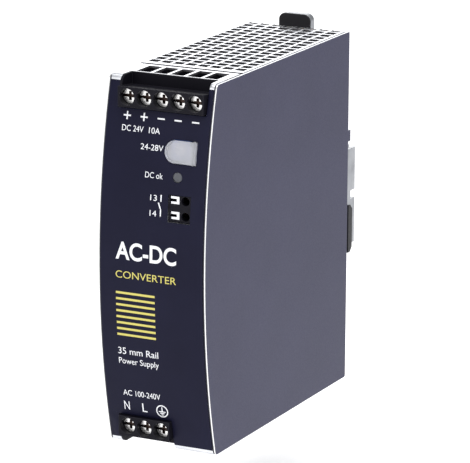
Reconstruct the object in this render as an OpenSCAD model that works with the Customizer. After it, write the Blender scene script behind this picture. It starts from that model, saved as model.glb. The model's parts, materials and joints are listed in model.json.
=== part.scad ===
// Slim DIN-rail power supply, 24 V / 10 A class, built as an assembly of separate pieces.
// The origin is the rail datum: the centre of the 35 mm rail slot, on the front plane of the rail's lips.
// +X is right seen from the front, the front looks along -Y, +Z is up.

/* [Housing] */
// Width over the two side plates
body_w = 39; // [39:0.5:44]
// Height over the top and bottom sheets
body_h = 124; // [124:1:130]
// Depth from the rear edge of the sides to the foremost point of the curved front
body_d = 110; // [110:1:118]
// Gap from the rear edge of the sides to the rail plane
rail_gap = 7; // [7:0.1:7.4]
// Height of the rail's centre line above the bottom
rail_height = 62.5; // [62:0.5:63]
// Radius of the curved front, seen from the side
front_r = 240; // [235:5:300]
// Thickness of the housing sheets
sheet_t = 0.8; // [0.7:0.1:0.9]
// Outer radius of the bends between the front and the top and bottom
bend_r = 1.8; // [1.5:0.1:2.2]
// Thickness of the dark foil on the front
foil_t = 0.2; // [0.1:0.05:0.3]

/* [Ventilation] */
// Side of each square vent hole
vent_hole = 3.6; // [3:0.1:3.8]
// Hole pitch across the width
vent_pitch_x = 4.5; // [4.4:0.05:4.6]
// Hole pitch along the depth
vent_pitch_y = 4.6; // [4.4:0.05:4.6]
// Holes across the width
vent_columns = 8; // [6:1:8]
// Holes along the depth
vent_rows = 17; // [10:1:17]

/* [Terminals] */
// Pitch of the screw terminals
pole_pitch = 6.1; // [6.1:0.05:6.2]
// X of the first screw of each block
first_pole_x = -10.95; // [-11:0.05:-10.9]
// Distance from the top sheet to the output screws' axes
output_drop = 6.3; // [6.2:0.1:6.6]
// Distance from the bottom sheet to the input screws' axes
input_drop = 7; // [6.6:0.1:7.2]
// Nominal diameter of a terminal screw
screw_d = 3; // [2.6:0.1:3]

/* [Rail latch] */
// Distance the latch travels when it is pressed down
latch_travel = 4; // [3:0.5:4]
// Width of the latch strap and its finger tab
strap_w = 12; // [10:0.5:12]
// Height of the finger tab above the top sheet
tab_rise = 3.8; // [3.6:0.1:4.4]

/* [Hidden] */
$fn = 48;

// Housing planes
z_bottom = -rail_height;
z_top = z_bottom + body_h;
z_mid = z_bottom + body_h / 2;
y_back = -rail_gap;
y_front = y_back - body_d;
arc_y = y_front + front_r;
// The side plates stop this far inside the top, bottom and front surfaces
side_inset = 0.25;
// Corner radius at the rear ends of the side plates, and of the shell's upright bends
rear_r = 2;
shell_bend_r = 1.2;
// Small locating lugs on the rear edges of the side plates
lug_z0 = 22.5;
lug_z1 = 26.5;
lug_rise = 0.9;
// Half the width inside the side plates, less a fitting gap
inner_half = body_w / 2 - sheet_t - 0.1;
// A cutter passes its target by this much
over = 1;

// Plan of the top: front flange, slit and perforated sheet, as Y values behind the front
flange_front_y = y_front + 14.7;
window_y0 = y_front + 15.3;
window_y1 = y_front + 24.8;
flange_back_y = y_front + 26.6;
vent_front_y = y_front + 28.4;
vent_first_y = y_back - 3.6;
window_w = 5;

// Screw terminal block, as seen from the front; heights are measured inward from the outer sheet
block_face_y = y_front + 4;
block_wall_y = y_front + 14;
block_rear_y = y_front + 26;
block_half_face = 3.35;
block_margin = 0.2;
block_depth = 14;
ledge_fall = 1.2;
rib_t = 0.6;
cheek_t = 0.75;
cheek_r = 3;
cutout_left = first_pole_x - pole_pitch / 2 - 1;
cutout_gap = 0.6;
chamber_w = 5.1;
chamber_y1 = block_rear_y - 1;
cage_chamber_y0 = block_wall_y + 0.4;
shaft_y0 = block_wall_y + 1.8;
chamber_floor = block_depth - 1.4;
recess_d = 5.5;
recess_floor_y = block_face_y + 4.9;

// Terminal screw and rising cage
head_d = 5.2;
head_h = 2;
head_y = block_face_y + 2.6;
bar_y0 = y_front + 19.5;
bar_t = 0.8;
bar_w = 3.4;
cage_w = 4.9;
cage_h = 5;
cage_front_t = 1.4;
cage_wall_t = 0.5;
cage_back_t = 0.8;
cage_y0 = bar_y0 - 0.2 - cage_front_t;
cage_y1 = chamber_y1 - 0.4;

// Front features: X and Z of their centres
trimmer_x = 8;
trimmer_z = 39.5;
rotor_r = 2.1;
trimmer_floor = 1.5;
led_x = 8.5;
led_z = 31.1;
led_d = 3.4;
signal_x0 = 5.6;
signal_x1 = 13.7;
signal_z0 = 16.4;
signal_z1 = 25.4;
signal_rows = [23.6, 18.52];
signal_face_y = y_front + 1.6;
signal_depth = 9.4;
clamp_x = 7.7;
clamp_w = 3.4;
clamp_h = 2.9;
wire_x = 11.6;
wire_d = 3;
contact_x0 = clamp_x + clamp_w / 2 + 0.12;
contact_x1 = contact_x0 + 0.3;
contact_half_h = 0.8;
contact_y0 = signal_face_y + 2;

// Trimmer flap, in a frame that lies on the tilted front: local X across, local Y up, local Z outward
flap_z = trimmer_z - 0.3;
flap_tilt = asin((flap_z - z_mid) / front_r);
flap_y = arc_y - front_r * cos(flap_tilt);
flap_left_r = 3.7;
flap_left_x = 7.2;
flap_t = 1;
flap_rise = 0.55;
flap_hinge_x = 13.4;
flap_hinge_r = 1.2;
flap_pin_r = 0.4;
flap_pin_l = 0.9;
flap_gap = 0.25;

// Boards
control_y0 = y_front + 13;
front_pcb_y0 = block_rear_y + 0.2;
pcb_t = 1.6;
control_x0 = -14.5;
control_x1 = 15.5;
control_z0 = -40;
control_z1 = 43.2;
front_pcb_x0 = -17;
front_pcb_x1 = 17.5;
front_pcb_inset = 3;
main_pcb_x0 = -15.6;
main_pcb_x1 = main_pcb_x0 + pcb_t;
right_wall_x = body_w / 2 - sheet_t;
heat_plate_t = 1.5;

// Rail foot and latch
rail_h = 35;
foot_t = 1.2;
foot_z0 = -15;
foot_z1 = 22;
foot_half = inner_half;
hook_x = 12;
hook_half = 3;
hook_drop = 4.2;
hook_lip_gap = 1.8;
hook_z0 = rail_h / 2 + 0.4;
strap_x = -2.1;
strap_t = 1;
strap_y0 = y_back + 0.9;
strap_y1 = y_back + 3.7;
strap_z1 = z_top + tab_rise;
pad_y0 = y_back + 0.2;
carrier_z0 = -rail_h / 2 - 0.1;
carrier_z1 = -0.6;
carrier_y0 = y_back + 1.4;
carrier_y1 = y_back + 3.4;
wing_z0 = 13;
spring_seat_z = 2.6;
spring_x = 9;
spring_y = y_back + 3.1;
spring_r = 1.45;
spring_wire_r = 0.22;
spring_turns = 7;
seat_half = 2.4;
seat_reach = 1.9;

// A part's cross-section extruded along an axis
module along_x(x0, x1) { translate([x0, 0, 0]) rotate([90, 0, 90]) linear_extrude(x1 - x0) children(); }
module along_y(y0, y1) { translate([0, y1, 0]) rotate([90, 0, 0]) linear_extrude(y1 - y0) children(); }
module along_z(z0, z1) { translate([0, 0, z0]) linear_extrude(z1 - z0) children(); }
// A box from its lowest to its highest corner
module block(low, high) { translate(low) cube(high - low); }
// Round bars and pins along the axes
module rod_x(x0, x1, y, z, r) { translate([x0, y, z]) rotate([0, 90, 0]) cylinder(h = x1 - x0, r = r); }
module rod_y(y0, y1, x, z, r) { translate([x, y0, z]) rotate([-90, 0, 0]) cylinder(h = y1 - y0, r = r); }

// X of a screw terminal's centre
function pole_x(pole) = first_pole_x + (pole - 1) * pole_pitch;
// Y of the curved front at a height, for a surface that lies a distance inside the outermost one
function front_y(z, inside) = arc_y - sqrt(pow(front_r - inside, 2) - pow(z - z_mid, 2));

// The corner that is cut away outside a bend, above the middle of the housing.
// The bend is tangent to the curved front and to the top.
module bend_waste(inset, front_inset) {
    centre_z = body_h / 2 - bend_r;
    reach = front_r - front_inset - bend_r;
    centre_y = arc_y - sqrt(reach * reach - centre_z * centre_z);
    outward = [centre_y - arc_y, centre_z] / reach;
    size = 4 * bend_r;
    translate([centre_y, centre_z])
    difference() {
        polygon([[0, 0], outward * size, [-size, size], [0, size]]);
        circle(r = bend_r - inset);
    }
}

// Side view of the housing, drawn as Y across and Z up; it ends at back_y
module side_outline(inset, front_inset, back_y) {
    difference() {
        intersection() {
            translate([arc_y, z_mid]) circle(r = front_r - front_inset - inset);
            translate([y_front - over, z_bottom + inset])
            square([back_y - y_front + over, body_h - 2 * inset]);
        }
        translate([0, z_mid]) bend_waste(inset, front_inset);
        translate([0, z_mid]) mirror([0, 1]) bend_waste(inset, front_inset);
    }
}

// What is cut away outside the rounded rear corners of a side view
module rear_corners(inset, back_y, r) {
    for (up = [0, 1])
    translate([0, z_mid]) mirror([0, up])
    translate([back_y - r, body_h / 2 - inset - r])
    difference() {
        square(r + over);
        circle(r = r);
    }
}

// Coated aluminium shell: left side, back and right side in one bent sheet
module body_shell() {
    color("#3d3f5c")
    difference() {
        union() {
            bent_sheet();
            for (side = [-1, 1])
            translate([side * (body_w - sheet_t) / 2, 0, 0])
            block([-sheet_t / 2, y_back - shell_bend_r, lug_z0], [sheet_t / 2, y_back + lug_rise, lug_z1]);
        }
        rivet_holes();
    }
}

// The shell's sheet, without its lugs and holes
module bent_sheet() {
    intersection() {
        along_z(z_bottom, z_top)
        difference() {
            shell_plan(body_w / 2, y_back, shell_bend_r);
            translate([0, -over])
            shell_plan(body_w / 2 - sheet_t, y_back - sheet_t + over, shell_bend_r - sheet_t);
        }
        along_x(-body_w / 2, body_w / 2)
        difference() {
            side_outline(side_inset, 0, y_back);
            rear_corners(side_inset, y_back, rear_r);
        }
    }
}

// Plan of the shell: a deep rectangle with its two rear corners rounded
module shell_plan(half, back, r) {
    translate([-half, y_front - over]) square([2 * half, back - r - y_front + over]);
    translate([-half + r, back - r - over]) square([2 * (half - r), r + over]);
    for (side = [-1, 1])
    translate([side * (half - r), back - r]) circle(r = r);
}

// Perforated zinc-plated sheet: top, rear lining and bottom in one bent sheet
module vent_frame() {
    back = y_back - sheet_t - 0.15;
    color("#c9cacf")
    difference() {
        along_x(-inner_half, inner_half)
        difference() {
            vent_profile(0, back, rear_r);
            translate([-over, 0]) vent_profile(sheet_t, back - sheet_t + over, rear_r - sheet_t);
        }
        vent_holes(z_bottom - over, z_bottom + sheet_t + over);
        vent_holes(z_top - sheet_t - over, z_top + over);
        rivet_holes();
    }
}

module vent_profile(inset, back, r) {
    difference() {
        translate([vent_front_y - over * inset, z_bottom + inset])
        square([back - vent_front_y + over * inset, body_h - 2 * inset]);
        rear_corners(inset, back, r);
    }
}

module vent_holes(z0, z1) {
    along_z(z0, z1)
    for (column = [1 : vent_columns], row = [1 : vent_rows])
    translate([(column - (vent_columns + 1) / 2) * vent_pitch_x, vent_first_y - (row - 1) * vent_pitch_y])
    square(vent_hole, center = true);
}

// Everything that is cut through the front panel and its foil
module front_cutouts() {
    right = pole_x(5) + pole_pitch / 2 + 0.5;
    input_right = pole_x(3) + pole_pitch / 2 + block_margin + 0.1;
    depth = flange_front_y - y_front;
    block([cutout_left, y_front - over, z_top - output_drop - block_half_face - cutout_gap],
          [right, y_front + depth, z_top + over]);
    block([cutout_left, y_front - over, z_bottom - over],
          [input_right, y_front + depth, z_bottom + input_drop + block_half_face + 0.15]);
    flap_frame() translate([0, 0, -4 * flap_t]) linear_extrude(8 * flap_t)
    flap_outline(flap_gap, flap_hinge_x + flap_hinge_r);
    rod_y(y_front - over, y_front + depth, led_x, led_z, led_d / 2);
    block([signal_x0, y_front - over, signal_z0], [signal_x1, y_front + depth, signal_z1]);
}

// Notches behind the foil in which the flap's pins turn
module flap_pin_notches() {
    flap_frame() translate([0, 0, -4 * flap_t]) linear_extrude(8 * flap_t)
    translate([flap_hinge_x, 0])
    square(2 * [flap_pin_r + flap_gap, flap_left_r + flap_pin_l + flap_gap], center = true);
}

// Zinc-plated front panel with its two bends
module front_panel() {
    color("#b9bcc4")
    difference() {
        along_x(-inner_half, inner_half)
        difference() {
            side_outline(0, foil_t, flange_front_y);
            side_outline(sheet_t, foil_t, flange_front_y + over);
        }
        front_cutouts();
        flap_pin_notches();
    }
}

// One flange of the front panel, with a window for the wire of each screw terminal
module wire_flange(poles, z0) {
    difference() {
        block([-inner_half, flange_front_y, z0], [inner_half, flange_back_y, z0 + sheet_t]);
        for (pole = [1 : poles])
        translate([pole_x(pole), 0, z0])
        block([-window_w / 2, window_y0, -over], [window_w / 2, window_y1, sheet_t + over]);
    }
}

// The panel's two flanges: a node of their own, so that collision stays open at the windows
module wire_flanges() {
    color("#b9bcc4") {
        wire_flange(5, z_top - sheet_t);
        wire_flange(3, z_bottom);
    }
}

// Thin dark foil on the curved front, between the two bends
module front_foil() {
    half_height = body_h / 2 - bend_r;
    color("#23243a")
    difference() {
        along_x(-inner_half, inner_half)
        intersection() {
            difference() {
                translate([arc_y, z_mid]) circle(r = front_r);
                translate([arc_y, z_mid]) circle(r = front_r - foil_t);
            }
            translate([y_front - over, z_mid - half_height]) square([body_d / 3, 2 * half_height]);
        }
        front_cutouts();
    }
}

// Side view of a terminal block: Y across, height measured inward from the outer sheet
module block_profile(drop) {
    low = drop + block_half_face;
    high = drop - block_half_face;
    polygon([[block_face_y, -low], [block_face_y, -high],
             [block_wall_y, -high - ledge_fall], [block_wall_y, 0],
             [block_wall_y + rib_t, 0], [block_wall_y + rib_t, -sheet_t],
             [block_rear_y, -sheet_t], [block_rear_y, -block_depth],
             [block_face_y + 3.8, -block_depth], [block_face_y + 3.8, -low]]);
}

// Side view of the cheek at the left end of a terminal block, with a rounded outer corner
module cheek_profile(drop) {
    front_y = block_face_y + 3;
    back_y = block_wall_y + rib_t;
    difference() {
        translate([front_y, -drop - block_half_face]) square([back_y - front_y, drop + block_half_face]);
        translate([front_y + cheek_r, -cheek_r])
        difference() {
            translate([-cheek_r - over, 0]) square(cheek_r + over);
            circle(r = cheek_r);
        }
    }
}

// Screw terminal block with its wires coming from above; heights are negative, from the outer sheet
module terminal_block(poles, drop) {
    left = first_pole_x - pole_pitch / 2 - block_margin;
    right = pole_x(poles) + pole_pitch / 2 + block_margin;
    cage_top = -drop + cage_h / 2 + 0.15;
    color("#1c1c22")
    difference() {
        union() {
            along_x(left, right) block_profile(drop);
            along_x(left - cheek_t, left) cheek_profile(drop);
        }
        for (pole = [1 : poles])
        translate([pole_x(pole), 0, 0]) {
            block([-chamber_w / 2, shaft_y0, -chamber_floor], [chamber_w / 2, chamber_y1, over]);
            block([-chamber_w / 2, cage_chamber_y0, -chamber_floor], [chamber_w / 2, chamber_y1, cage_top]);
            rod_y(block_face_y - over, recess_floor_y, 0, -drop, recess_d / 2);
            rod_y(recess_floor_y - over, chamber_y1 - over, 0, -drop, screw_d / 2 + 0.15);
            block([-bar_w / 2 - 0.1, chamber_y1 - over, -chamber_floor],
                  [bar_w / 2 + 0.1, block_rear_y + over, -chamber_floor + bar_t + 0.1]);
        }
    }
}

// Combination-head screw of one pole; its tip bears on the contact bar
module terminal_screw(drop) {
    slot_w = 0.75;
    cross_w = 1;
    cross_l = 3;
    drive_depth = 1.2;
    color("#d6d3cd")
    difference() {
        union() {
            rod_y(head_y, head_y + head_h, 0, -drop, head_d / 2);
            rod_y(head_y + head_h, bar_y0 - 0.1, 0, -drop, screw_d / 2);
        }
        translate([0, head_y, -drop]) {
            block([-head_d, -over, -slot_w / 2], [head_d, drive_depth, slot_w / 2]);
            for (turn = [0, 90])
            rotate([0, turn, 0])
            block([-cross_l / 2, -over, -cross_w / 2], [cross_l / 2, drive_depth, cross_w / 2]);
        }
    }
}

// Rising cage: a steel box open above and below, threaded in front
module terminal_cage(drop) {
    color("#c2c3bd")
    difference() {
        block([-cage_w / 2, cage_y0, -drop - cage_h / 2], [cage_w / 2, cage_y1, -drop + cage_h / 2]);
        block([-cage_w / 2 + cage_wall_t, cage_y0 + cage_front_t, -drop - cage_h],
              [cage_w / 2 - cage_wall_t, cage_y1 - cage_back_t, -drop + cage_h]);
        rod_y(cage_y0 - over, cage_y0 + cage_front_t + over, 0, -drop, screw_d / 2 + 0.05);
    }
}

// Angled contact bar of one pole: a tongue inside the cage and a tail that is soldered to the board
module contact_bar(drop) {
    tail_y = front_pcb_y0 + pcb_t + 1;
    color("#b98f5a")
    union() {
        block([-bar_w / 2, bar_y0, -chamber_floor], [bar_w / 2, bar_y0 + bar_t, -drop + cage_h / 2 - 0.5]);
        block([-bar_w / 2, bar_y0, -chamber_floor], [bar_w / 2, tail_y, -chamber_floor + bar_t]);
    }
}

// Places what is drawn below the top sheet at the output end, or mirrored at the input end
module at_output(x) { translate([x, 0, z_top]) children(); }
module at_input(x) { translate([x, 0, z_bottom]) mirror([0, 0, 1]) children(); }

module output_block() { at_output(0) terminal_block(5, output_drop); }
module input_block() { at_input(0) terminal_block(3, input_drop); }
module output_screw(pole) { at_output(pole_x(pole)) terminal_screw(output_drop); }
module input_screw(pole) { at_input(pole_x(pole)) terminal_screw(input_drop); }
module output_cage(pole) { at_output(pole_x(pole)) terminal_cage(output_drop); }
module input_cage(pole) { at_input(pole_x(pole)) terminal_cage(input_drop); }
module output_bars() { for (pole = [1 : 5]) at_output(pole_x(pole)) contact_bar(output_drop); }
module input_bars() { for (pole = [1 : 3]) at_input(pole_x(pole)) contact_bar(input_drop); }

// Two-pole push-in block for the signal contact
module signal_block() {
    color("#17171b")
    difference() {
        block([signal_x0 + 0.1, signal_face_y, signal_z0 + 0.1],
              [signal_x1 - 0.1, signal_face_y + signal_depth, signal_z1 - 0.1]);
        for (z = signal_rows) {
            block([clamp_x - clamp_w / 2, signal_face_y - over, z - clamp_h / 2],
                  [clamp_x + clamp_w / 2, signal_face_y + signal_depth - 1, z + clamp_h / 2]);
            rod_y(signal_face_y - over, signal_face_y + signal_depth - 2, wire_x, z, wire_d / 2);
            block([contact_x0 - 0.02, contact_y0, z - contact_half_h - 0.02],
                  [wire_x, signal_face_y + signal_depth - 2, z + contact_half_h + 0.02]);
            block([contact_x0 - 0.02, contact_y0, z - contact_half_h - 0.02],
                  [contact_x1 + 0.02, signal_face_y + signal_depth + over, z + contact_half_h + 0.02]);
        }
    }
}

// Forked leaf spring of one pole, pressed in to free the wire
module signal_spring(row) {
    half_w = clamp_w / 2 - 0.1;
    half_h = clamp_h / 2 - 0.15;
    set_back = 0.5;
    fork_t = 0.5;
    leg_l = 6;
    color("#d9dadf")
    translate([clamp_x, signal_face_y + set_back, signal_rows[row]])
    difference() {
        union() {
            block([-half_w, 0, -half_h], [half_w, fork_t, half_h]);
            block([half_w - fork_t, 0, -half_h], [half_w, leg_l, half_h]);
        }
        block([-2 * half_w, -over, -half_h / 3], [half_w / 3, fork_t + over, half_h / 3]);
    }
}

// Flat contact of each signal pole, beside its wire hole, with a tail to the control board
module signal_contacts() {
    color("#b98f5a")
    for (z = signal_rows)
    block([contact_x0, contact_y0, z - contact_half_h],
          [contact_x1, control_y0 + pcb_t, z + contact_half_h]);
}

// Sealed relay that closes the signal contact
module signal_relay() {
    color("#2a2b30")
    translate([3, front_pcb_y0 + pcb_t, 6]) cube([10, 12, 20]);
}

// Output voltage trimmer on the control board
module trimmer_body() {
    half = 3.3;
    color("#2b4f8f")
    difference() {
        translate([trimmer_x, 0, trimmer_z])
        block([-half, flap_y + 2.4, -half], [half, control_y0, half]);
        rod_y(flap_y, control_y0 - trimmer_floor, trimmer_x, trimmer_z, rotor_r + 0.1);
    }
}

module trimmer_rotor() {
    top_y = flap_y + 2;
    slot_half = 0.3;
    slot_reach = 1.6;
    slot_depth = 0.9;
    color("#e8e6df")
    difference() {
        rod_y(top_y, control_y0 - trimmer_floor - 0.1, trimmer_x, trimmer_z, rotor_r);
        for (turn = [0, 90])
        translate([trimmer_x, top_y, trimmer_z]) rotate([0, turn, 0])
        block([-slot_reach, -over, -slot_half], [slot_reach, slot_depth, slot_half]);
    }
}

// Puts its children on the tilted front, at the flap
module flap_frame() {
    translate([0, flap_y, flap_z]) rotate([90 - flap_tilt, 0, 0]) children();
}

// Outline of the flap: round at its finger end, square at its hinge end
module flap_outline(grow, right_x) {
    translate([flap_left_x, 0]) circle(r = flap_left_r + grow);
    translate([flap_left_x, -flap_left_r - grow])
    square([right_x - flap_left_x + grow, 2 * (flap_left_r + grow)]);
}

// Clear flap over the trimmer; it swings out on two pins at its right-hand end
module trimmer_flap() {
    rim = 0.45;
    grip_depth = 0.3;
    grip_w = 1.3;
    hinge_height = flap_rise - flap_hinge_r;
    color("#dfe3f2")
    flap_frame() {
        difference() {
            translate([0, 0, flap_rise - flap_t]) linear_extrude(flap_t) flap_outline(0, flap_hinge_x);
            translate([0, 0, flap_rise - grip_depth]) linear_extrude(over)
            difference() {
                translate([flap_left_x, 0]) circle(r = flap_left_r - rim);
                translate([flap_left_x + grip_w, 0]) circle(r = flap_left_r);
            }
        }
        translate([flap_hinge_x, 0, hinge_height])
        rotate([90, 0, 0]) cylinder(h = 2 * flap_left_r, r = flap_hinge_r, center = true);
        translate([flap_hinge_x, 0, hinge_height])
        rotate([90, 0, 0]) cylinder(h = 2 * (flap_left_r + flap_pin_l), r = flap_pin_r, center = true);
    }
}

// Light guide from the lamp to the round window in the front
module light_guide() {
    tip_y = front_y(led_z, 0) + 0.1;
    color("#8d9098")
    union() {
        rod_y(tip_y, tip_y + 6, led_x, led_z, led_d / 2 - 0.1);
        rod_y(tip_y + 1.5, tip_y + 3, led_x, led_z, led_d / 2 + 0.6);
    }
}

module led() {
    color("#8fce7a")
    block([led_x - 1.2, front_y(led_z, 0) + 6.4, led_z - 1], [led_x + 1.2, control_y0, led_z + 1]);
}

// Small board behind the front, with the trimmer, the lamp and the signal contact
module control_pcb() {
    color("#2f6b45")
    difference() {
        block([control_x0, control_y0, control_z0], [control_x1, control_y0 + pcb_t, control_z1]);
        for (z = signal_rows)
        block([contact_x0 - 0.1, control_y0 - over, z - contact_half_h - 0.1],
              [contact_x1 + 0.1, control_y0 + pcb_t + over, z + contact_half_h + 0.1]);
    }
}

// Full-height board behind the terminal blocks
module front_pcb() {
    color("#2f6b45")
    difference() {
        block([front_pcb_x0, front_pcb_y0, z_bottom + front_pcb_inset],
              [front_pcb_x1, front_pcb_y0 + pcb_t, z_top - front_pcb_inset]);
        at_output(0) bar_slots(5);
        at_input(0) bar_slots(3);
    }
}

module bar_slots(poles) {
    for (pole = [1 : poles])
    translate([pole_x(pole), 0, 0])
    block([-bar_w / 2 - 0.1, front_pcb_y0 - over, -chamber_floor - 0.1],
          [bar_w / 2 + 0.1, front_pcb_y0 + pcb_t + over, -chamber_floor + bar_t + 0.1]);
}

// Main board, upright beside the left side plate
main_pcb_y0 = front_pcb_y0 + pcb_t + 0.4;
main_pcb_y1 = y_back - 4;
post_places = [for (y = [main_pcb_y0 + 5, main_pcb_y1 - 5], z = [z_bottom + 10, z_top - 10]) [y, z]];

module main_pcb() {
    color("#2f6b45")
    difference() {
        block([main_pcb_x0, main_pcb_y0, z_bottom + 5], [main_pcb_x1, main_pcb_y1, z_top - 5]);
        for (place = post_places)
        rod_x(main_pcb_x0 - over, main_pcb_x1 + over, place[0], place[1], 1.6);
    }
}

module insulating_sheet() {
    sheet_x = -inner_half + 0.1;
    color("#e9e2c8")
    difference() {
        block([sheet_x, main_pcb_y0, z_bottom + 4], [sheet_x + 0.25, main_pcb_y1, z_top - 4]);
        for (place = post_places)
        rod_x(sheet_x - over, sheet_x + over, place[0], place[1], 2.7);
    }
}

// Threaded posts that carry the main board
module board_posts() {
    color("#c8c2a0")
    for (place = post_places)
    difference() {
        rod_x(-body_w / 2 + sheet_t, main_pcb_x0, place[0], place[1], 2.5);
        rod_x(-body_w / 2, main_pcb_x0 + over, place[0], place[1], 1.35);
    }
}

module board_screws() {
    tip_l = 2;
    thread_r = 1.3;
    cap_r = 2.6;
    cap_h = 1.8;
    slot_depth = 0.8;
    slot_half = 0.35;
    color("#cfcfd2")
    for (place = post_places)
    translate([main_pcb_x1, place[0], place[1]])
    difference() {
        union() {
            rod_x(-pcb_t - tip_l, 0, 0, 0, thread_r);
            rod_x(0, cap_h, 0, 0, cap_r);
        }
        block([cap_h - slot_depth, -cap_r - over, -slot_half], [cap_h + over, cap_r + over, slot_half]);
    }
}

// Transformer: three bars of ferrite, the middle one through a taped winding
transformer_y = -45;
transformer_z = 6;
core_w = 24;
core_half_l = 14;
core_half_h = 17;
core_leg_half = 4.5;
core_window_half = 11;
winding_half_l = 18;
winding_wall = 1;
winding_gap = 0.1;

module transformer_core() {
    color("#3b3a3c")
    translate([main_pcb_x1 + 2 * winding_wall, transformer_y, transformer_z])
    difference() {
        block([0, -core_half_l, -core_half_h], [core_w, core_half_l, core_half_h]);
        for (up = [0, 1])
        mirror([0, 0, up])
        block([-over, -core_half_l - over, core_leg_half],
              [core_w + over, core_half_l + over, core_window_half]);
    }
}

module transformer_winding() {
    half_h = core_window_half - 2 * winding_gap;
    hole_half_l = core_half_l + winding_gap;
    hole_half_h = core_leg_half + winding_gap;
    width = core_w + 2 * winding_wall;
    color("#d8b13a")
    translate([main_pcb_x1 + winding_wall, transformer_y, transformer_z])
    difference() {
        block([0, -winding_half_l, -half_h], [width, winding_half_l, half_h]);
        block([-over, -hole_half_l, -hole_half_h], [width + over, hole_half_l, hole_half_h]);
        for (x = [0, width])
        translate([x, 0, 0])
        block([winding_gap - winding_wall, -hole_half_l, -core_half_h],
              [winding_wall - winding_gap, hole_half_l, core_half_h]);
    }
}

// A wound ring lying against the main board, its axis along X
module wound_ring(y, z, r, hole_r, thick, lift) {
    translate([main_pcb_x1 + lift, y, z]) rotate([0, 90, 0])
    difference() {
        cylinder(h = thick, r = r);
        translate([0, 0, -over]) cylinder(h = thick + 2 * over, r = hole_r);
    }
}

module pfc_choke() { color("#a8612c") wound_ring(-54, -34, 16, 6, 15, 2); }
module output_choke() { color("#a8612c") wound_ring(-48, 40, 12, 4.5, 12, 2); }
module emi_choke() { color("#8c5524") wound_ring(-79, -20, 9, 3.5, 14, 2); }

module bulk_capacitors() {
    color("#2c2f3a")
    for (z = [-26, -47])
    rod_x(main_pcb_x1 + 0.2, main_pcb_x1 + 26.5, -29, z, 10);
}

module output_capacitors() {
    color("#3a3552")
    for (y = [-66, -77], z = [34, 46])
    rod_x(main_pcb_x1 + 0.2, main_pcb_x1 + 22, y, z, 5);
}

module filter_capacitor() {
    color("#c8a93f")
    block([main_pcb_x1 + 0.2, -86, -46], [main_pcb_x1 + 16, -73, -31]);
}

module fuse() {
    color("#d8d3c4")
    rod_y(-85, -65, main_pcb_x1 + 5, -53.5, 2.6);
}

module varistor() {
    color("#2d55a3")
    rod_x(main_pcb_x1 + 2, main_pcb_x1 + 6.5, -79, -2, 6.5);
}

// Aluminium plates that carry the heat of the transistors into the right side plate
module primary_heat_plate() {
    color("#b4b7bb")
    block([right_wall_x - heat_plate_t, -60, -52], [right_wall_x, -12, -12]);
}

module secondary_heat_plate() {
    color("#b4b7bb")
    block([right_wall_x - heat_plate_t, -60, 22], [right_wall_x, -12, 54]);
}

module power_transistors() {
    x1 = right_wall_x - heat_plate_t;
    color("#222226")
    for (place = [[-58, -50], [-47, -50], [-36, -30], [-39, 34], [-28, 34]])
    block([x1 - 4.4, place[0] - 1, place[1]], [x1, place[0] + 9, place[1] + 15]);
}

// Zinc-plated foot: a back plate, two side flanges that stand on the rail and two upper hooks
module rail_foot() {
    slot_half = strap_w / 2 + 0.3;
    slot_z0 = carrier_z1 - latch_travel - 0.3;
    notch_depth = 3.4;
    notch_z0 = 1;
    notch_z1 = 4;
    color("#cfd0d2")
    difference() {
        union() {
            block([-foot_half, y_back, foot_z0], [foot_half, y_back + foot_t, foot_z1]);
            for (side = [-1, 1]) {
                block([side * (foot_half - foot_t / 2) - foot_t / 2, y_back, foot_z0],
                      [side * (foot_half - foot_t / 2) + foot_t / 2, 0, hook_z0 + foot_t]);
                translate([strap_x + side * spring_x, 0, spring_seat_z])
                block([-seat_half, y_back, -foot_t], [seat_half, spring_y + seat_reach, 0]);
                translate([side * hook_x, 0, 0]) foot_hook();
            }
        }
        block([strap_x - slot_half, y_back - over, slot_z0], [strap_x + slot_half, 0, foot_z1 + over]);
        for (side = [-1, 1])
        translate([side * foot_half, 0, 0])
        block([-2 * foot_t, -notch_depth, notch_z0], [2 * foot_t, over, notch_z1]);
        rivet_holes();
    }
}

// One hook over the upper lip of the rail
module foot_hook() {
    arm_l = hook_lip_gap - y_back;
    half_t = foot_t / 2;
    along_x(-hook_half, hook_half)
    translate([hook_lip_gap, hook_z0])
    polygon([[-arm_l, 0], [0, 0], [0, -hook_drop], [half_t, -hook_drop - half_t], [foot_t, -hook_drop],
             [foot_t, half_t], [half_t, foot_t], [-arm_l, foot_t]]);
}

foot_rivet_places = [for (x = [-15.4, 15.4], z = [3, 15]) [x, z]];
foot_rivet_r = 1.2;
foot_rivet_head_r = 1.8;
foot_rivet_head_h = 0.7;

// Rivets through the foot, the shell and the rear lining
module foot_rivets() {
    color("#bfc0c4")
    for (place = foot_rivet_places) {
        rod_y(y_back - 3 * sheet_t, y_back + foot_t, place[0], place[1], foot_rivet_r);
        rod_y(y_back + foot_t, y_back + foot_t + foot_rivet_head_h, place[0], place[1], foot_rivet_head_r);
    }
}

// Holes for the rivets in the foot, the shell and the lining
module rivet_holes() {
    for (place = foot_rivet_places)
    rod_y(y_back - 3 * sheet_t, y_back + foot_t + over, place[0], place[1], foot_rivet_r + 0.1);
}

// Upright outline of the strap, with rounded upper corners
module strap_outline(inset, bottom) {
    half = strap_w / 2 - inset;
    r = 2.4 - inset;
    top = strap_z1 - inset;
    translate([strap_x - half, bottom]) square([2 * half, top - r - bottom]);
    translate([strap_x - half + r, bottom]) square([2 * (half - r), top - bottom]);
    for (side = [-1, 1])
    translate([strap_x + side * (half - r), top - r]) circle(r = r);
}

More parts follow.
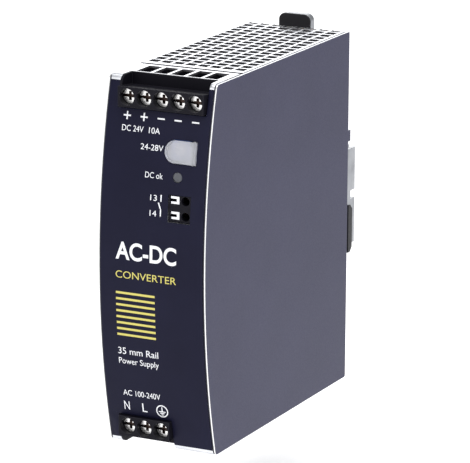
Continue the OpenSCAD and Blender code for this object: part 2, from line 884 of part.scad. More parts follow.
// Sliding steel strap behind the housing, a channel open to the front, with two wings for the springs
module latch_strap() {
    color("#c4c5ca")
    union() {
        difference() {
            along_y(strap_y0, strap_y1) strap_outline(0, carrier_z1);
            along_y(strap_y0 - over, strap_y1 - strap_t) strap_outline(strap_t, carrier_z1 - over);
        }
        for (side = [-1, 1])
        translate([strap_x, 0, 0]) mirror([side > 0 ? 0 : 1, 0, 0])
        block([strap_w / 2 - strap_t, y_back + foot_t + 0.2, wing_z0],
              [spring_x + seat_half + 0.2, spring_y + seat_reach - 0.2, wing_z0 + foot_t]);
    }
}

// Black finger pad that covers the front of the tab
module latch_pad() {
    pad_z0 = z_top - 9;
    color("#26242b")
    union() {
        along_y(pad_y0, strap_y0) strap_outline(0, pad_z0);
        along_y(strap_y0, strap_y1 - strap_t) strap_outline(strap_t + 0.1, pad_z0 + 1);
    }
}

// Black carrier across the rear; its nose grips the lower lip of the rail from below
module latch_carrier() {
    cheek_x = foot_half + 0.15;
    plate_half = foot_half - foot_t - 0.2;
    bridge_z1 = foot_z0 - 0.4;
    chamfer = 1.6;
    chamfer_y = carrier_y1 - chamfer;
    height = carrier_z1 - carrier_z0;
    nose_half = 11;
    nose_drop = 3;
    nose_reach = 3.5;
    nose_lip_h = 1.4;
    color("#1a1a1f")
    union() {
        block([-plate_half, carrier_y0, carrier_z0], [plate_half, carrier_y1, carrier_z1]);
        block([-body_w / 2, pad_y0, carrier_z0], [body_w / 2, chamfer_y, bridge_z1]);
        for (side = [0, 1])
        mirror([side, 0, 0])
        along_x(cheek_x, body_w / 2)
        translate([0, carrier_z0])
        polygon([[pad_y0, 0], [chamfer_y, 0], [carrier_y1, chamfer],
                 [carrier_y1, height - chamfer], [chamfer_y, height], [pad_y0, height]]);
        along_x(strap_x - nose_half, strap_x + nose_half)
        translate([0, carrier_z0])
        polygon([[carrier_y0, 0], [carrier_y0, -nose_drop], [1, -nose_drop], [nose_reach, -1],
                 [nose_reach, 0], [hook_lip_gap + 0.5, nose_lip_h], [hook_lip_gap, nose_lip_h],
                 [hook_lip_gap, -0.3], [carrier_y1, -0.3], [carrier_y1, 0]]);
    }
}

// Return springs of the latch: a round wire swept along a helix, closed at both ends
spring_sides = 8;
spring_steps = 12;
function coil_point(k) =
    let (turn = k / spring_steps, low = spring_seat_z + spring_wire_r, high = wing_z0 - spring_wire_r)
    [spring_r * cos(360 * turn), spring_r * sin(360 * turn), low + (high - low) * turn / spring_turns];
function coil_ring(k) =
    let (centre = coil_point(k), angle = 360 * k / spring_steps)
    [for (s = [0 : spring_sides - 1])
     let (a = 360 * s / spring_sides)
     centre + spring_wire_r * (cos(a) * [cos(angle), sin(angle), 0] + sin(a) * [0, 0, 1])];
coil_rings = spring_turns * spring_steps + 1;
coil_points = [for (k = [0 : coil_rings - 1]) each coil_ring(k)];
coil_sides = [for (k = [0 : coil_rings - 2], s = [0 : spring_sides - 1])
              let (a = k * spring_sides + s, b = k * spring_sides + (s + 1) % spring_sides)
              [a, a + spring_sides, b + spring_sides, b]];
coil_start = [[for (s = [0 : spring_sides - 1]) s]];
coil_end = [[for (s = [spring_sides - 1 : -1 : 0]) (coil_rings - 1) * spring_sides + s]];

module latch_springs() {
    color("#a9aaae")
    for (side = [-1, 1])
    translate([strap_x + side * spring_x, spring_y, 0])
    polyhedron(coil_points, concat(coil_sides, coil_start, coil_end));
}

body_shell();
vent_frame();
front_panel();
wire_flanges();
front_foil();
output_block();
input_block();
output_screw(1);  // output_screw_1
output_screw(2);  // output_screw_2
output_screw(3);  // output_screw_3
output_screw(4);  // output_screw_4
output_screw(5);  // output_screw_5
input_screw(1);  // input_screw_1
input_screw(2);  // input_screw_2
input_screw(3);  // input_screw_3
output_cage(1);  // output_cage_1
output_cage(2);  // output_cage_2
output_cage(3);  // output_cage_3
output_cage(4);  // output_cage_4
output_cage(5);  // output_cage_5
input_cage(1);  // input_cage_1
input_cage(2);  // input_cage_2
input_cage(3);  // input_cage_3
output_bars();
input_bars();
signal_block();
signal_spring(0);  // signal_spring_1
signal_spring(1);  // signal_spring_2
signal_contacts();
signal_relay();
trimmer_body();
trimmer_rotor();
trimmer_flap();
light_guide();
led();
control_pcb();
front_pcb();
main_pcb();
insulating_sheet();
board_posts();
board_screws();
transformer_core();
transformer_winding();
pfc_choke();
output_choke();
emi_choke();
bulk_capacitors();
output_capacitors();
filter_capacitor();
fuse();
varistor();
primary_heat_plate();
secondary_heat_plate();
power_transistors();
rail_foot();
foot_rivets();
latch_strap();
latch_pad();
latch_carrier();
latch_springs();
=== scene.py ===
# Slim DIN-rail power supply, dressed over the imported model. Lengths are in metres, in the CAD's frame:
# the origin is the rail datum, +X is right seen from the front, the front looks along -Y, +Z is up.
import json
import math

import bmesh
import bpy
from mathutils import Matrix, Vector

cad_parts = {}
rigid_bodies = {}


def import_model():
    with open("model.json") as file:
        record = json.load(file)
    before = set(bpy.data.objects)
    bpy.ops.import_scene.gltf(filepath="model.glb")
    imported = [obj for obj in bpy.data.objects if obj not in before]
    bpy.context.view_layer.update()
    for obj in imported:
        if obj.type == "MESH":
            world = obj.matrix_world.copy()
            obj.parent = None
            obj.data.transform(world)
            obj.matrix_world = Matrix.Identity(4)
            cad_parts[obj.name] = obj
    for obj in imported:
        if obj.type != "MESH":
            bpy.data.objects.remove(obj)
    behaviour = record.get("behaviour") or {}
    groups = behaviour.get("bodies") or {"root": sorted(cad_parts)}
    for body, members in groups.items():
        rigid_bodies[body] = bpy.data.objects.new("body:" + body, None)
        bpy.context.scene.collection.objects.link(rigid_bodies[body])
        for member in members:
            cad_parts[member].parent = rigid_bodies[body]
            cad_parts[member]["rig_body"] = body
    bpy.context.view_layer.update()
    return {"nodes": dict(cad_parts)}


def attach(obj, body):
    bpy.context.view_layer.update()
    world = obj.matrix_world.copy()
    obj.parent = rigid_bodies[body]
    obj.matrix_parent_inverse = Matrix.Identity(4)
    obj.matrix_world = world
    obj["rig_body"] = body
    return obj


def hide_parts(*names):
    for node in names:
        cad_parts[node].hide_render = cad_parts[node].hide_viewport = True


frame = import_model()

NODES = frame["nodes"]
SCENE = bpy.context.scene
MM = 0.001

# Centre and radius of the arc that the curved front follows, seen from the side
ARC_Y = 123 * MM
ARC_Z = -0.5 * MM
ARC_R = 240 * MM
# The skin that replaces the foil lies this far inside the foil's surface, and the ink stands this far in
SKIN_INSET = 0.03 * MM
INK_INSET = 0.01 * MM
# On the shell's front edges the dark coat, painted darker still as a shadow line, ends this far from the
# middle
LAP_SHADOW_X = 19.05 * MM
# The shell's back and its bends lie behind this plane
SHELL_BACK_Y = -8.4 * MM
# Height, above the middle, of the undersides of the top and bottom sheets
SHEET_LOW = 61.1 * MM
# Front of the terminal screws' heads, and the depth of their slot and cross
HEAD_Y = -110.4 * MM
DRIVE_DEPTH = 1.2 * MM

# Camera: place, then azimuth, elevation and roll in degrees, then focal length in millimetres
CAMERA_PLACE = (505.5 * MM, -1072.8 * MM, 290.1 * MM)
CAMERA_TURN = (26.44, 14.38, 0.32)
CAMERA_LENS = 265.6
# The floor is a square sheet of paper, lit a little from within so that it stays pale
FLOOR_HALF = 6
FLOOR_Z = -95 * MM
FLOOR_GLOW = 0.35
WORLD_GLOW = 0.5
# Refractive index of the clear plastics
ACRYLIC_IOR = 1.49


# ---------------------------------------------------------------- camera, light and floor

def look_rotation(azimuth, elevation, roll):
    """Rotation of a camera that looks along +Y at azimuth 0, turned to the left and tilted down."""
    a = math.radians(azimuth)
    e = math.radians(elevation)
    right = Vector((math.cos(a), math.sin(a), 0))
    forward = Vector((-math.sin(a) * math.cos(e), math.cos(a) * math.cos(e), -math.sin(e)))
    up = right.cross(forward)
    turn = Matrix((right, up, -forward)).transposed()
    return turn.to_4x4() @ Matrix.Rotation(math.radians(roll), 4, "Z")


def add_camera():
    data = bpy.data.cameras.new("camera")
    data.sensor_width = 36
    data.sensor_fit = "HORIZONTAL"
    data.lens = CAMERA_LENS
    data.clip_start = 0.01
    data.clip_end = 50
    camera = bpy.data.objects.new("camera", data)
    SCENE.collection.objects.link(camera)
    camera.matrix_world = Matrix.Translation(CAMERA_PLACE) @ look_rotation(*CAMERA_TURN)
    SCENE.camera = camera


def add_area(name, location, target, size, power):
    """A square soft box that faces its target; size in metres, power in watts."""
    data = bpy.data.lights.new(name, "AREA")
    data.shape = "SQUARE"
    data.size = size
    data.energy = power
    lamp = bpy.data.objects.new(name, data)
    SCENE.collection.objects.link(lamp)
    lamp.location = location
    lamp.rotation_euler = (Vector(target) - Vector(location)).to_track_quat("-Z", "Y").to_euler()


def add_world():
    world = bpy.data.worlds.new("studio")
    SCENE.world = world
    world.use_nodes = True
    background = world.node_tree.nodes["Background"]
    background.inputs["Color"].default_value = (0.97, 0.98, 1.0, 1)
    background.inputs["Strength"].default_value = WORLD_GLOW


def add_floor():
    mesh = bpy.data.meshes.new("floor")
    corners = []
    for x, y in ((-1, -1), (1, -1), (1, 1), (-1, 1)):
        corners.append((x * FLOOR_HALF, y * FLOOR_HALF, FLOOR_Z))
    mesh.from_pydata(corners, [], [(0, 1, 2, 3)])
    floor = bpy.data.objects.new("floor", mesh)
    SCENE.collection.objects.link(floor)
    material, tree, shader = start_material("floor_paper")
    fibres = noise(tree, 900, detail=2)
    tree.links.new(ramp(tree, fibres, (0.92, 0.92, 0.925), (0.94, 0.94, 0.945)), shader.inputs["Base Color"])
    shader.inputs["Roughness"].default_value = 0.9
    shader.inputs["Emission Color"].default_value = (1, 1, 1, 1)
    shader.inputs["Emission Strength"].default_value = FLOOR_GLOW
    floor.data.materials.append(material)


# ---------------------------------------------------------------- materials

def start_material(name):
    material = bpy.data.materials.new(name)
    material.use_nodes = True
    tree = material.node_tree
    tree.nodes.clear()
    out = tree.nodes.new("ShaderNodeOutputMaterial")
    shader = tree.nodes.new("ShaderNodeBsdfPrincipled")
    tree.links.new(shader.outputs["BSDF"], out.inputs["Surface"])
    return material, tree, shader


def noise(tree, scale, stretch=(1, 1, 1), detail=4, rough=0.55):
    """A noise value in object space; scale is in features per metre."""
    where = tree.nodes.new("ShaderNodeTexCoord")
    mapping = tree.nodes.new("ShaderNodeMapping")
    mapping.inputs["Scale"].default_value = stretch
    texture = tree.nodes.new("ShaderNodeTexNoise")
    texture.inputs["Scale"].default_value = scale
    texture.inputs["Detail"].default_value = detail
    texture.inputs["Roughness"].default_value = rough
    tree.links.new(where.outputs["Object"], mapping.inputs["Vector"])
    tree.links.new(mapping.outputs["Vector"], texture.inputs["Vector"])
    return texture.outputs["Fac"]


def ramp(tree, value, low, high, at_low=0.3, at_high=0.7):
    """Spreads a value between two colours."""
    node = tree.nodes.new("ShaderNodeValToRGB")
    node.color_ramp.elements[0].position = at_low
    node.color_ramp.elements[0].color = (*low, 1)
    node.color_ramp.elements[1].position = at_high
    node.color_ramp.elements[1].color = (*high, 1)
    tree.links.new(value, node.inputs["Fac"])
    return node.outputs["Color"]


def spread(tree, value, low, high):
    """Maps a value of about 0.3 to 0.7 onto low to high."""
    node = tree.nodes.new("ShaderNodeMapRange")
    node.inputs["From Min"].default_value = 0.3
    node.inputs["From Max"].default_value = 0.7
    node.inputs["To Min"].default_value = low
    node.inputs["To Max"].default_value = high
    tree.links.new(value, node.inputs["Value"])
    return node.outputs["Result"]


def edge_mask(tree, radius):
    """1 near convex and concave edges, 0 on open faces."""
    bevel = tree.nodes.new("ShaderNodeBevel")
    bevel.samples = 4
    bevel.inputs["Radius"].default_value = radius
    geometry = tree.nodes.new("ShaderNodeNewGeometry")
    dot = tree.nodes.new("ShaderNodeVectorMath")
    dot.operation = "DOT_PRODUCT"
    tree.links.new(bevel.outputs["Normal"], dot.inputs[0])
    tree.links.new(geometry.outputs["Normal"], dot.inputs[1])
    node = tree.nodes.new("ShaderNodeMapRange")
    node.inputs["From Min"].default_value = 0.995
    node.inputs["From Max"].default_value = 0.85
    tree.links.new(dot.outputs["Value"], node.inputs["Value"])
    return node.outputs["Result"]


def mix_colour(tree, factor, base, other):
    node = tree.nodes.new("ShaderNodeMix")
    node.data_type = "RGBA"
    tree.links.new(factor, node.inputs["Factor"])
    tree.links.new(base, node.inputs["A"])
    node.inputs["B"].default_value = (*other, 1)
    return node.outputs["Result"]


def multiply(tree, value, amount):
    node = tree.nodes.new("ShaderNodeMath")
    node.operation = "MULTIPLY"
    node.inputs[1].default_value = amount
    tree.links.new(value, node.inputs[0])
    return node.outputs["Value"]


def bump(tree, shader, heights):
    """Chains (height value, strength, distance in metres) into the shader's normal."""
    last = None
    for height, strength, distance in heights:
        node = tree.nodes.new("ShaderNodeBump")
        node.inputs["Strength"].default_value = strength
        node.inputs["Distance"].default_value = distance
        tree.links.new(height, node.inputs["Height"])
        if last:
            tree.links.new(last, node.inputs["Normal"])
        last = node.outputs["Normal"]
    tree.links.new(last, shader.inputs["Normal"])


def coating(name, dark, light, worn, rough=(0.38, 0.52), grain=2600, edge=0.5, specular=0.5):
    """Fine-grained coating or moulded plastic, a little worn and polished at its edges."""
    material, tree, shader = start_material(name)
    patches = noise(tree, 45, detail=5)
    grains = noise(tree, grain, detail=2)
    colour = ramp(tree, patches, dark, light)
    if edge:
        mask = edge_mask(tree, 0.35 * MM)
        colour = mix_colour(tree, multiply(tree, mask, edge), colour, worn)
    tree.links.new(colour, shader.inputs["Base Color"])
    tree.links.new(spread(tree, grains, *rough), shader.inputs["Roughness"])
    shader.inputs["Specular IOR Level"].default_value = specular
    bump(tree, shader, [(grains, 0.25, 0.06 * MM), (patches, 0.06, 0.4 * MM)])
    return material


def metal(name, dark, light, rough=(0.22, 0.4), stretch=(1, 1, 1), grain=900, relief=0.12):
    """Rolled or plated metal: drawn grain, cloudy plating and uneven gloss."""
    material, tree, shader = start_material(name)
    clouds = noise(tree, 120, detail=5)
    lines = noise(tree, grain, stretch=stretch, detail=3)
    tree.links.new(ramp(tree, clouds, dark, light), shader.inputs["Base Color"])
    tree.links.new(spread(tree, lines, *rough), shader.inputs["Roughness"])
    shader.inputs["Metallic"].default_value = 1
    bump(tree, shader, [(lines, relief, 0.03 * MM), (clouds, 0.03, 0.2 * MM)])
    return material


def lapped_and_shaded_edge(name, coat_and_shadow, bare):
    """The shell's front edges: bare metal on the outer side; on the inner side the coat, painted darker than
    the coating as a shadow line beside the bright edge.
    """
    material, tree, shader = start_material(name)
    where = tree.nodes.new("ShaderNodeTexCoord")
    split = tree.nodes.new("ShaderNodeSeparateXYZ")
    tree.links.new(where.outputs["Object"], split.inputs["Vector"])
    side = tree.nodes.new("ShaderNodeMath")
    side.operation = "ABSOLUTE"
    tree.links.new(split.outputs["X"], side.inputs[0])
    shadow_lap = tree.nodes.new("ShaderNodeMapRange")
    shadow_lap.inputs["From Min"].default_value = LAP_SHADOW_X
    shadow_lap.inputs["From Max"].default_value = LAP_SHADOW_X + 0.08 * MM
    tree.links.new(side.outputs["Value"], shadow_lap.inputs["Value"])
    grains = noise(tree, 2500, detail=3)
    shade = ramp(tree, grains, coat_and_shadow, tuple(1.3 * c for c in coat_and_shadow))
    tree.links.new(mix_colour(tree, shadow_lap.outputs["Result"], shade, bare), shader.inputs["Base Color"])
    tree.links.new(shadow_lap.outputs["Result"], shader.inputs["Metallic"])
    tree.links.new(spread(tree, grains, 0.3, 0.5), shader.inputs["Roughness"])
    bump(tree, shader, [(grains, 0.15, 0.03 * MM)])
    return material


def clear_plastic(name, dark, light, transmission, rough=(0.12, 0.3)):
    material, tree, shader = start_material(name)
    clouds = noise(tree, 260, detail=4)
    tree.links.new(ramp(tree, clouds, dark, light), shader.inputs["Base Color"])
    tree.links.new(spread(tree, clouds, *rough), shader.inputs["Roughness"])
    shader.inputs["Transmission Weight"].default_value = transmission
    shader.inputs["IOR"].default_value = ACRYLIC_IOR
    bump(tree, shader, [(clouds, 0.08, 0.1 * MM)])
    return material


def ink(name, dark, light):
    """Screen-printed ink: nearly even, with faint pores."""
    material, tree, shader = start_material(name)
    pores = noise(tree, 3500, detail=2)
    tree.links.new(ramp(tree, pores, dark, light, 0.25, 0.5), shader.inputs["Base Color"])
    tree.links.new(spread(tree, pores, 0.45, 0.6), shader.inputs["Roughness"])
    bump(tree, shader, [(pores, 0.15, 0.02 * MM)])
    return material


SHELL = coating(
    "shell_coating", (0.022, 0.022, 0.058), (0.027, 0.027, 0.067),
    (0.14, 0.14, 0.2), (0.42, 0.55), specular=0.34,
)
SKIN = coating(
    "front_skin", (0.0070, 0.0070, 0.0205), (0.0090, 0.0092, 0.0260),
    (0.05, 0.05, 0.08), (0.40, 0.5), edge=0, specular=0.10,
)
BLACK = coating(
    "moulded_black", (0.0055, 0.0050, 0.0085), (0.0085, 0.0080, 0.0120),
    (0.04, 0.04, 0.05), (0.4, 0.55), 1800, specular=0.10,
)
LATCH = coating(
    "latch_black", (0.008, 0.008, 0.010), (0.013, 0.012, 0.015),
    (0.04, 0.04, 0.04), (0.4, 0.55), 1500, specular=0.25,
)
CUT_EDGE = metal(
    "bare_cut_edge", (0.80, 0.81, 0.83), (0.95, 0.95, 0.96),
    (0.35, 0.5), (1, 1, 1), 2500,
)
# Front edges: bright bare outer side, and an inner side of coat colour darkened as a painted shadow line
FRONT_EDGE_AND_SHADOW = lapped_and_shaded_edge("lapped_front_edge_painted_shadow", (0.010, 0.010, 0.020), (0.85, 0.85, 0.84))
ZINC = metal("zinc_sheet", (0.62, 0.63, 0.66), (0.78, 0.79, 0.82), (0.28, 0.42), (1, 0.08, 1), 1600)
# Hole walls of the sheets: the dull bare punched edge, darkened further as painted shade so that the holes
# read dark
PUNCHED_EDGE_AND_SHADE = metal(
    "punched_edge_and_painted_shade", (0.13, 0.13, 0.14), (0.24, 0.24, 0.26),
    (0.45, 0.6), (1, 1, 0.2), 2000,
)
FOOT = metal("foot_zinc", (0.30, 0.31, 0.33), (0.45, 0.46, 0.48), (0.35, 0.5), (1, 1, 0.08), 1400)
NICKEL = metal(
    "screw_nickel", (0.88, 0.87, 0.85), (0.96, 0.95, 0.94),
    (0.24, 0.34), (1, 1, 1), 1800, 0.03,
)
# Painted shade: dark brown on the walls and floor of each screw's slot and cross, standing in for the shade
# down in the drives
RECESS_SHADE = metal(
    "screw_recess_painted_shade", (0.05, 0.032, 0.028), (0.10, 0.07, 0.06),
    (0.4, 0.6), (1, 1, 1), 1500, 0.1,
)
CAGE = metal("cage_zinc", (0.55, 0.55, 0.54), (0.68, 0.68, 0.66), (0.28, 0.45), (1, 1, 0.2), 1500)
SPRING = metal(
    "spring_steel", (0.66, 0.67, 0.70), (0.84, 0.84, 0.86),
    (0.16, 0.3), (1, 0.1, 1), 2000,
)
COPPER = metal(
    "contact_copper", (0.60, 0.40, 0.26), (0.74, 0.52, 0.36),
    (0.25, 0.4), (1, 1, 0.2), 1500,
)
BRASS = metal("post_brass", (0.58, 0.48, 0.24), (0.74, 0.64, 0.36), (0.22, 0.38), (0.1, 1, 1), 1800)
ALUMINIUM = metal(
    "rolled_aluminium", (0.66, 0.67, 0.69), (0.80, 0.81, 0.83),
    (0.3, 0.45), (1, 0.06, 1), 1500,
)
WIRE = metal(
    "magnet_wire", (0.36, 0.13, 0.04), (0.55, 0.24, 0.08),
    (0.2, 0.35), (0.15, 1, 1), 1400, 0.6,
)
CLEAR = clear_plastic("clear_flap", (0.80, 0.81, 0.88), (0.88, 0.89, 0.94), 0.72, (0.10, 0.22))
GUIDE = clear_plastic("light_guide", (0.07, 0.075, 0.09), (0.09, 0.095, 0.11), 0.25, (0.25, 0.4))
LED = clear_plastic("led_resin", (0.24, 0.50, 0.20), (0.32, 0.62, 0.26), 0.3)
BOARD = coating(
    "solder_mask", (0.018, 0.10, 0.045), (0.03, 0.15, 0.07),
    (0.3, 0.28, 0.16), (0.25, 0.4), 900,
)
FILM = coating(
    "insulating_film", (0.60, 0.55, 0.38), (0.74, 0.70, 0.54),
    (0.8, 0.78, 0.7), (0.2, 0.35), 800, 0.2,
)
FERRITE = coating(
    "ferrite", (0.028, 0.027, 0.028), (0.05, 0.048, 0.048),
    (0.12, 0.12, 0.12), (0.5, 0.7), 1500,
)
TAPE = coating(
    "winding_tape", (0.52, 0.36, 0.06), (0.72, 0.54, 0.12),
    (0.8, 0.7, 0.3), (0.2, 0.35), 700, 0.3,
)
SLEEVE = coating(
    "capacitor_sleeve", (0.02, 0.025, 0.05), (0.035, 0.04, 0.075),
    (0.2, 0.2, 0.24), (0.18, 0.3), 700,
)
CASE = coating(
    "component_case", (0.02, 0.02, 0.023), (0.035, 0.035, 0.04),
    (0.1, 0.1, 0.1), (0.35, 0.5), 1500,
)
BLUE = coating(
    "trimmer_blue", (0.02, 0.07, 0.28), (0.03, 0.10, 0.36),
    (0.2, 0.3, 0.6), (0.3, 0.45), 1500,
)
WHITE = coating(
    "rotor_white", (0.62, 0.60, 0.54), (0.76, 0.74, 0.68),
    (0.85, 0.84, 0.8), (0.3, 0.45), 1500, 0.3,
)
CERAMIC = coating(
    "glazed_ceramic", (0.60, 0.57, 0.48), (0.74, 0.70, 0.60),
    (0.8, 0.78, 0.7), (0.15, 0.3), 900, 0.2,
)
WHITE_INK = ink("white_ink", (0.70, 0.71, 0.74), (0.84, 0.85, 0.88))
YELLOW_INK = ink("yellow_ink", (0.50, 0.44, 0.09), (0.62, 0.55, 0.13))


# ---------------------------------------------------------------- pieces made from the frame's shapes

def body_of(node):
    return NODES[node]["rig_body"]


def link(name, mesh, body):
    piece = bpy.data.objects.new(name, mesh)
    SCENE.collection.objects.link(piece)
    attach(piece, body)
    return piece


def shell_slot(face):
    """0 for the shell's coated faces and bends, 1 for its cut edges, 2 for those at the front."""
    normal = face.normal
    on_back = face.calc_center_median().y > SHELL_BACK_Y and abs(normal.z) < 0.2
    if abs(normal.x) > 0.3 or on_back:
        return 0
    return 2 if normal.y < -0.5 else 1


def is_hole_wall(face):
    """True for the upright walls of the holes in the top and bottom sheets."""
    return abs(face.normal.z) < 0.3 and abs(face.calc_center_median().z - ARC_Z) > SHEET_LOW


def is_in_drive(face):
    """True for the walls and floor of a screw's slot and cross."""
    high = max(corner.co.y for corner in face.verts)
    return HEAD_Y + 0.1 * MM < high < HEAD_Y + DRIVE_DEPTH + 0.1 * MM


def refine(node, name, materials, width, segments=2, pick=None, inset=0):
    """A copy of a node's shape with merged flat faces and rounded edges, which stands for the node."""
    mesh = NODES[node].data.copy()
    mesh.name = name
    for attribute in list(mesh.attributes):
        if attribute.name == "custom_normal":
            mesh.attributes.remove(attribute)
    mesh.materials.clear()
    for material in materials:
        mesh.materials.append(material)
    shape = bmesh.new()
    shape.from_mesh(mesh)
    bmesh.ops.remove_doubles(shape, verts=shape.verts, dist=0.002 * MM)
    bmesh.ops.dissolve_limit(shape, angle_limit=math.radians(0.6), verts=shape.verts, edges=shape.edges)
    for face in shape.faces:
        face.smooth = True
        face.material_index = int(pick(face)) if pick else 0
    for corner in shape.verts:
        corner.co.y += inset
    shape.to_mesh(mesh)
    shape.free()
    piece = link(name, mesh, body_of(node))
    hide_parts(node)
    if width:
        soften = piece.modifiers.new("soft_edges", "BEVEL")
        soften.width = width
        soften.segments = segments
        soften.limit_method = "ANGLE"
        soften.angle_limit = math.radians(32)
        soften.use_clamp_overlap = True
        soften.harden_normals = False
    weigh = piece.modifiers.new("even_shading", "WEIGHTED_NORMAL")
    weigh.keep_sharp = True
    weigh.weight = 80
    return piece


refine("body_shell", "shell_coated", [SHELL, CUT_EDGE, FRONT_EDGE_AND_SHADOW], 0.10 * MM, 2, shell_slot)
refine("vent_frame", "perforated_sheet", [ZINC, PUNCHED_EDGE_AND_SHADE], 0.06 * MM, 1, is_hole_wall)
refine("front_panel", "front_sheet", [ZINC, PUNCHED_EDGE_AND_SHADE], 0.06 * MM, 2, is_hole_wall)
refine("wire_flanges", "wire_flanges_punched", [ZINC, PUNCHED_EDGE_AND_SHADE], 0.06 * MM, 2, is_hole_wall)
refine("front_foil", "front_skin", [SKIN], 0, inset=SKIN_INSET)
for block_node in ("output_block", "input_block"):
    refine(block_node, block_node + "_moulded", [BLACK], 0.18 * MM)
for end, poles in (("output", 5), ("input", 3)):
    for pole in range(1, poles + 1):
        screw = f"{end}_screw_{pole}"
        cage = f"{end}_cage_{pole}"
        refine(screw, screw + "_plated", [NICKEL, RECESS_SHADE], 0.14 * MM, 3, is_in_drive)
        refine(cage, cage + "_plated", [CAGE], 0.10 * MM)
refine("signal_block", "signal_block_moulded", [BLACK], 0.12 * MM)
for number in (1, 2):
    refine(f"signal_spring_{number}", f"signal_fork_{number}", [SPRING], 0.08 * MM)
refine("trimmer_flap", "trimmer_flap_clear", [CLEAR], 0.22 * MM, 3)
refine("trimmer_rotor", "trimmer_rotor_moulded", [WHITE], 0.10 * MM)
refine("light_guide", "lamp_window", [GUIDE], 0.12 * MM)
refine("rail_foot", "rail_foot_plated", [FOOT], 0.15 * MM)
refine("latch_strap", "latch_strap_plated", [FOOT], 0.15 * MM)
refine("latch_pad", "latch_pad_moulded", [LATCH], 0.25 * MM, 3)
refine("latch_carrier", "latch_carrier_moulded", [LATCH], 0.25 * MM, 3)
refine("foot_rivets", "foot_rivets_domed", [FOOT], 0.35 * MM, 3)

KEPT = {
    "output_bars": COPPER, "input_bars": COPPER, "signal_contacts": COPPER, "signal_relay": CASE,
    "trimmer_body": BLUE, "led": LED, "control_pcb": BOARD, "front_pcb": BOARD, "main_pcb": BOARD,
    "insulating_sheet": FILM, "board_posts": BRASS, "board_screws": CAGE, "transformer_core": FERRITE,
    "transformer_winding": TAPE, "pfc_choke": WIRE, "output_choke": WIRE, "emi_choke": WIRE,
    "bulk_capacitors": SLEEVE, "output_capacitors": SLEEVE, "filter_capacitor": TAPE, "fuse": CERAMIC,
    "varistor": BLUE, "primary_heat_plate": ALUMINIUM, "secondary_heat_plate": ALUMINIUM,
    "power_transistors": CASE, "latch_springs": SPRING,
}
for node, material in KEPT.items():
    NODES[node].data.materials.clear()
    NODES[node].data.materials.append(material)


# ---------------------------------------------------------------- prints on the curved front

def front_y(z, inset):
    return ARC_Y - math.sqrt((ARC_R - inset) ** 2 - (z - ARC_Z) ** 2)


def lay_on_front(shape, name, material):
    """Wraps a flat drawing (x across, y up, in metres) onto the curved front as a film of ink."""
    low = min(v.co.y for v in shape.verts)
    high = max(v.co.y for v in shape.verts)
    step = 0.8 * MM
    for cut in range(1, int((high - low) / step) + 1):
        everything = shape.verts[:] + shape.edges[:] + shape.faces[:]
        level = (0, low + cut * step, 0)
        bmesh.ops.bisect_plane(shape, geom=everything, plane_co=level, plane_no=(0, 1, 0))
    for corner in shape.verts:
        x, z = corner.co.x, corner.co.y
        corner.co = (x, front_y(z, INK_INSET), z)
    bmesh.ops.recalc_face_normals(shape, faces=shape.faces)
    for face in shape.faces:
        if face.normal.y > 0:
            face.normal_flip()
    mesh = bpy.data.meshes.new(name)
    mesh.materials.append(material)
    shape.to_mesh(mesh)
    shape.free()
    piece = link(name, mesh, "housing")
    return piece


def print_text(words, name, left, right, bottom, top, material=None, weight=0.0):
    """Plain lettering fitted to a box on the front, in millimetres."""
    curve = bpy.data.curves.new(name, "FONT")
    curve.body = words
    curve.size = 1
    curve.offset = weight
    curve.resolution_u = 6
    source = bpy.data.objects.new(name, curve)
    SCENE.collection.objects.link(source)
    mesh = bpy.data.meshes.new_from_object(source.evaluated_get(bpy.context.evaluated_depsgraph_get()))
    bpy.data.objects.remove(source)
    shape = bmesh.new()
    shape.from_mesh(mesh)
    bpy.data.meshes.remove(mesh)
    xs = [v.co.x for v in shape.verts]
    ys = [v.co.y for v in shape.verts]
    for corner in shape.verts:
        x = left + (corner.co.x - min(xs)) / (max(xs) - min(xs)) * (right - left)
        y = bottom + (corner.co.y - min(ys)) / (max(ys) - min(ys)) * (top - bottom)
        corner.co = (x * MM, y * MM, 0)
    return lay_on_front(shape, name, material or WHITE_INK)


def print_bars(bars, name, material=None):
    """Straight strokes: each is (x0, z0, x1, z1, width), in millimetres."""
    shape = bmesh.new()
    for x0, z0, x1, z1, width in bars:
        along = Vector((x1 - x0, z1 - z0)).normalized()
        side = Vector((-along.y, along.x)) * width / 2
        corners = []
        for x, z, sign in ((x0, z0, -1), (x1, z1, -1), (x1, z1, 1), (x0, z0, 1)):
            corners.append(shape.verts.new(((x + sign * side.x) * MM, (z + sign * side.y) * MM, 0)))
        shape.faces.new(corners)
    return lay_on_front(shape, name, material or WHITE_INK)


def print_ring(x, z, radius, width, name):
    shape = bmesh.new()
    count = 48
    rings = []
    for r in (radius - width / 2, radius + width / 2):
        ring = []
        for k in range(count):
            a = 2 * math.pi * k / count
            ring.append(shape.verts.new(((x + r * math.cos(a)) * MM, (z + r * math.sin(a)) * MM, 0)))
        rings.append(ring)
    for k in range(count):
        n = (k + 1) % count
        shape.faces.new((rings[0][k], rings[1][k], rings[1][n], rings[0][n]))
    return lay_on_front(shape, name, WHITE_INK)


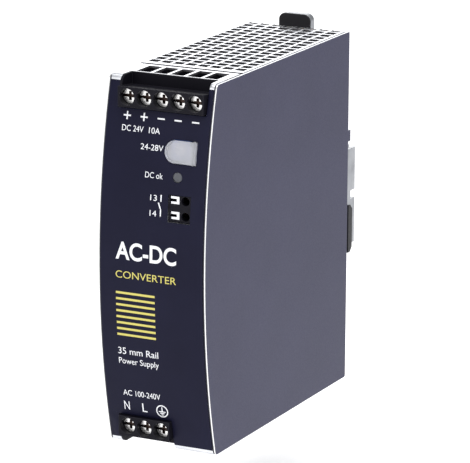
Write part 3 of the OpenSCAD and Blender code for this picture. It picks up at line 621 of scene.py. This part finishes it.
# Places of the prints are in millimetres: left, right, bottom, top
SIGN_HALF = 1.3
SIGN_STROKE = 0.5
SIGN_Z = 49
PLUS_X = (-11.3, -5.2)
MINUS_X = (1.0, 7.1, 13.4)
signs = []
for x in PLUS_X + MINUS_X:
    signs.append((x - SIGN_HALF, SIGN_Z, x + SIGN_HALF, SIGN_Z, SIGN_STROKE))
for x in PLUS_X:
    for up in (-1, 1):
        signs.append((x, SIGN_Z + up * SIGN_STROKE / 2, x, SIGN_Z + up * SIGN_HALF, SIGN_STROKE))
print_bars(signs, "print_pole_signs")
print_text("DC 24V", "print_output_volts", -12.8, -5.0, 44.1, 46.0)
print_text("10A", "print_output_amps", -3.0, 1.0, 44.1, 46.0)
print_text("24-28V", "print_trimmer_range", -5.5, 2.7, 38.8, 40.7)
print_text("DC ok", "print_lamp", -3.2, 3.2, 30.0, 31.9)
print_text("13", "print_contact_13", -0.9, 1.5, 22.8, 24.7)
print_text("14", "print_contact_14", -0.9, 1.5, 17.8, 19.7)
print_bars([(3.0, 22.8, 3.0, 25.0, 0.42), (2.1, 22.4, 3.0, 20.2, 0.42), (3.0, 18.0, 3.0, 20.2, 0.42)],
           "print_contact_symbol")
MARGIN_X = -13.0
print_text("AC-DC", "print_kind_white", MARGIN_X, 9.1, 2.2, 8.2, weight=0.022)
print_text("CONVERTER", "print_kind_yellow", MARGIN_X, 9.1, -4.0, -1.6, YELLOW_INK)
BAR_COUNT = 8
BAR_TOP_Z = -9.0
BAR_PITCH = 2.05
BAR_RIGHT_X = 1.2
BAR_WIDTH = 0.75
bars = []
for k in range(BAR_COUNT):
    bar_z = BAR_TOP_Z - BAR_PITCH * k
    bars.append((MARGIN_X, bar_z, BAR_RIGHT_X, bar_z, BAR_WIDTH))
print_bars(bars, "print_yellow_bars", YELLOW_INK)
print_text("35 mm Rail", "print_mounting", MARGIN_X, 1.7, -30.2, -27.9)
print_text("Power Supply", "print_type", MARGIN_X, 1.7, -34.2, -31.5)
print_text("AC 100-240V", "print_input_volts", -12.4, 1.3, -44.9, -42.9)
print_text("N", "print_neutral", -12.5, -10.5, -50.1, -47.1)
print_text("L", "print_line", -5.8, -4.0, -50.1, -47.1)
EARTH_X = 1.5
EARTH_Z = -48.9
print_ring(EARTH_X, EARTH_Z, 2.0, 0.38, "print_earth_ring")
print_bars([(EARTH_X, EARTH_Z - 0.03, EARTH_X, EARTH_Z + 1.45, 0.34),
            (EARTH_X - 1.25, EARTH_Z - 0.2, EARTH_X + 1.25, EARTH_Z - 0.2, 0.34),
            (EARTH_X - 0.8, EARTH_Z - 0.75, EARTH_X + 0.8, EARTH_Z - 0.75, 0.34),
            (EARTH_X - 0.35, EARTH_Z - 1.3, EARTH_X + 0.35, EARTH_Z - 1.3, 0.34)], "print_earth_bars")


# ---------------------------------------------------------------- stage

add_camera()
add_world()
add_floor()
add_area("top_box", (0.1, -0.25, 0.9), (0, -0.05, 0), 0.9, 9)
add_area("right_box", (1.1, -0.5, 0.35), (0, -0.05, 0), 0.7, 3)
add_area("front_box", (-0.3, -1.2, 0.3), (0, -0.05, 0), 0.6, 2)
add_area("back_box", (-0.75, 1.45, 0.50), (0, -0.05, 0.06), 1.1, 8)
SCENE.view_settings.view_transform = "Standard"
SCENE.view_settings.look = "None"
